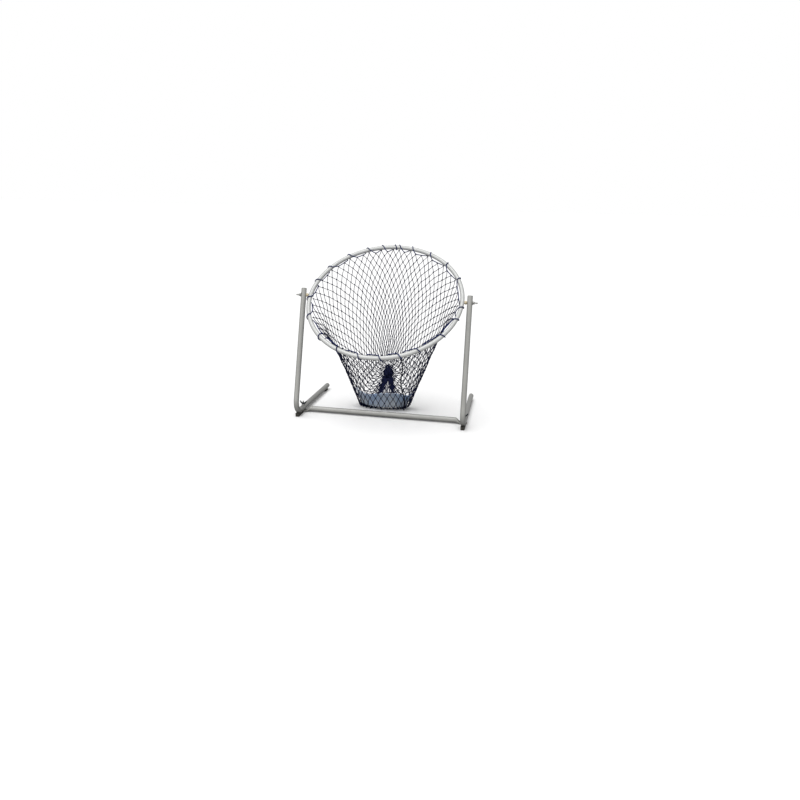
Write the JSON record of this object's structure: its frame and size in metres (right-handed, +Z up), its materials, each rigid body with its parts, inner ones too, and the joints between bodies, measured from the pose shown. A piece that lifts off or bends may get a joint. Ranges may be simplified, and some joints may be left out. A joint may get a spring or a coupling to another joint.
{
  "type": "golf chipping net",
  "caption": "Golf chipping net: a knotted net bag laced to a round tubular hoop that tilts between two bent-tube legs joined by a crossbar.",
  "frame": {"origin": "on the floor, under the middle of the whole object's bounding box", "axes": "+X to the right seen from the player, +Y away from the player towards the feet's rear ends, +Z up; the mouth faces -Y and up"},
  "size_m": [0.6946, 0.5761, 0.6516],
  "materials": {
    "grey_coating": "smooth satin powder coating",
    "pale_coating": "smooth satin powder coating",
    "zinc": "bright zinc plating",
    "black_steel": "black finish",
    "black_rubber": "matte",
    "grey_plastic": "moulded",
    "cream_plastic": "moulded",
    "navy_twine": "knotted nylon twine",
    "navy_lacing": "nylon cord",
    "black_cord": "heavier nylon cord",
    "elastic_cord": "elastic with a woven sleeve",
    "pale_blue_cloth": "thin woven cloth"
  },
  "bodies": {
    "stand": {"left_leg": "grey_coating", "left_foot_plug": "grey_plastic", "left_top_plug": "grey_plastic", "left_front_glide": "black_rubber", "left_rear_glide": "black_rubber", "left_base_bolt": "zinc", "left_base_washer": "zinc", "left_pivot_washer": "zinc", "right_leg": "grey_coating", "right_foot_plug": "grey_plastic", "right_top_plug": "grey_plastic", "right_front_glide": "black_rubber", "right_rear_glide": "black_rubber", "right_base_bolt": "zinc", "right_base_washer": "zinc", "right_pivot_washer": "zinc", "crossbar": "grey_coating", "net_bag": "navy_twine", "base_lining": "pale_blue_cloth", "gather_tie": "black_cord", "net_tail": "navy_twine", "seam_cord": "black_cord"},
    "hoop": {"hoop_top_segment": "pale_coating", "hoop_left_segment": "pale_coating", "hoop_bottom_segment": "pale_coating", "hoop_right_segment": "pale_coating", "hoop_ferrule_1": "zinc", "hoop_ferrule_2": "zinc", "hoop_ferrule_3": "zinc", "hoop_ferrule_4": "zinc", "shock_cord": "elastic_cord", "shock_cord_stop_1": "grey_plastic", "shock_cord_stop_2": "grey_plastic", "lacing_cord": "navy_lacing", "left_pivot_bolt": "zinc", "left_pivot_spacer": "cream_plastic", "right_pivot_bolt": "zinc", "right_pivot_spacer": "cream_plastic"},
    "left_pivot_nut": {"left_pivot_wing_nut": "zinc"},
    "left_base_nut": {"left_base_wing_nut": "black_steel"},
    "right_pivot_nut": {"right_pivot_wing_nut": "zinc"},
    "right_base_nut": {"right_base_wing_nut": "black_steel"}
  },
  "joints": [
    {"name": "hoop_tilt", "type": "hinge", "parent": "stand", "child": "hoop", "pos_m": [0, -0.04877, 0.462], "axis": [1, 0, 0], "range_deg": [-38, 52], "deforming": ["net_bag", "seam_cord"]},
    {"name": "left_pivot_nut_turn", "type": "hinge", "parent": "hoop", "child": "left_pivot_nut", "pos_m": [-0.3293, -0.04877, 0.462], "axis": [-1, 0, 0], "continuous": true},
    {"name": "left_base_nut_turn", "type": "hinge", "parent": "stand", "child": "left_base_nut", "pos_m": [-0.318, -0.05611, 0.0282], "axis": [0, 0, 1], "continuous": true},
    {"name": "right_pivot_nut_turn", "type": "hinge", "parent": "hoop", "child": "right_pivot_nut", "pos_m": [0.3293, -0.04877, 0.462], "axis": [1, 0, 0], "continuous": true},
    {"name": "right_base_nut_turn", "type": "hinge", "parent": "stand", "child": "right_base_nut", "pos_m": [0.318, -0.05611, 0.0282], "axis": [0, 0, 1], "continuous": true}
  ]
}
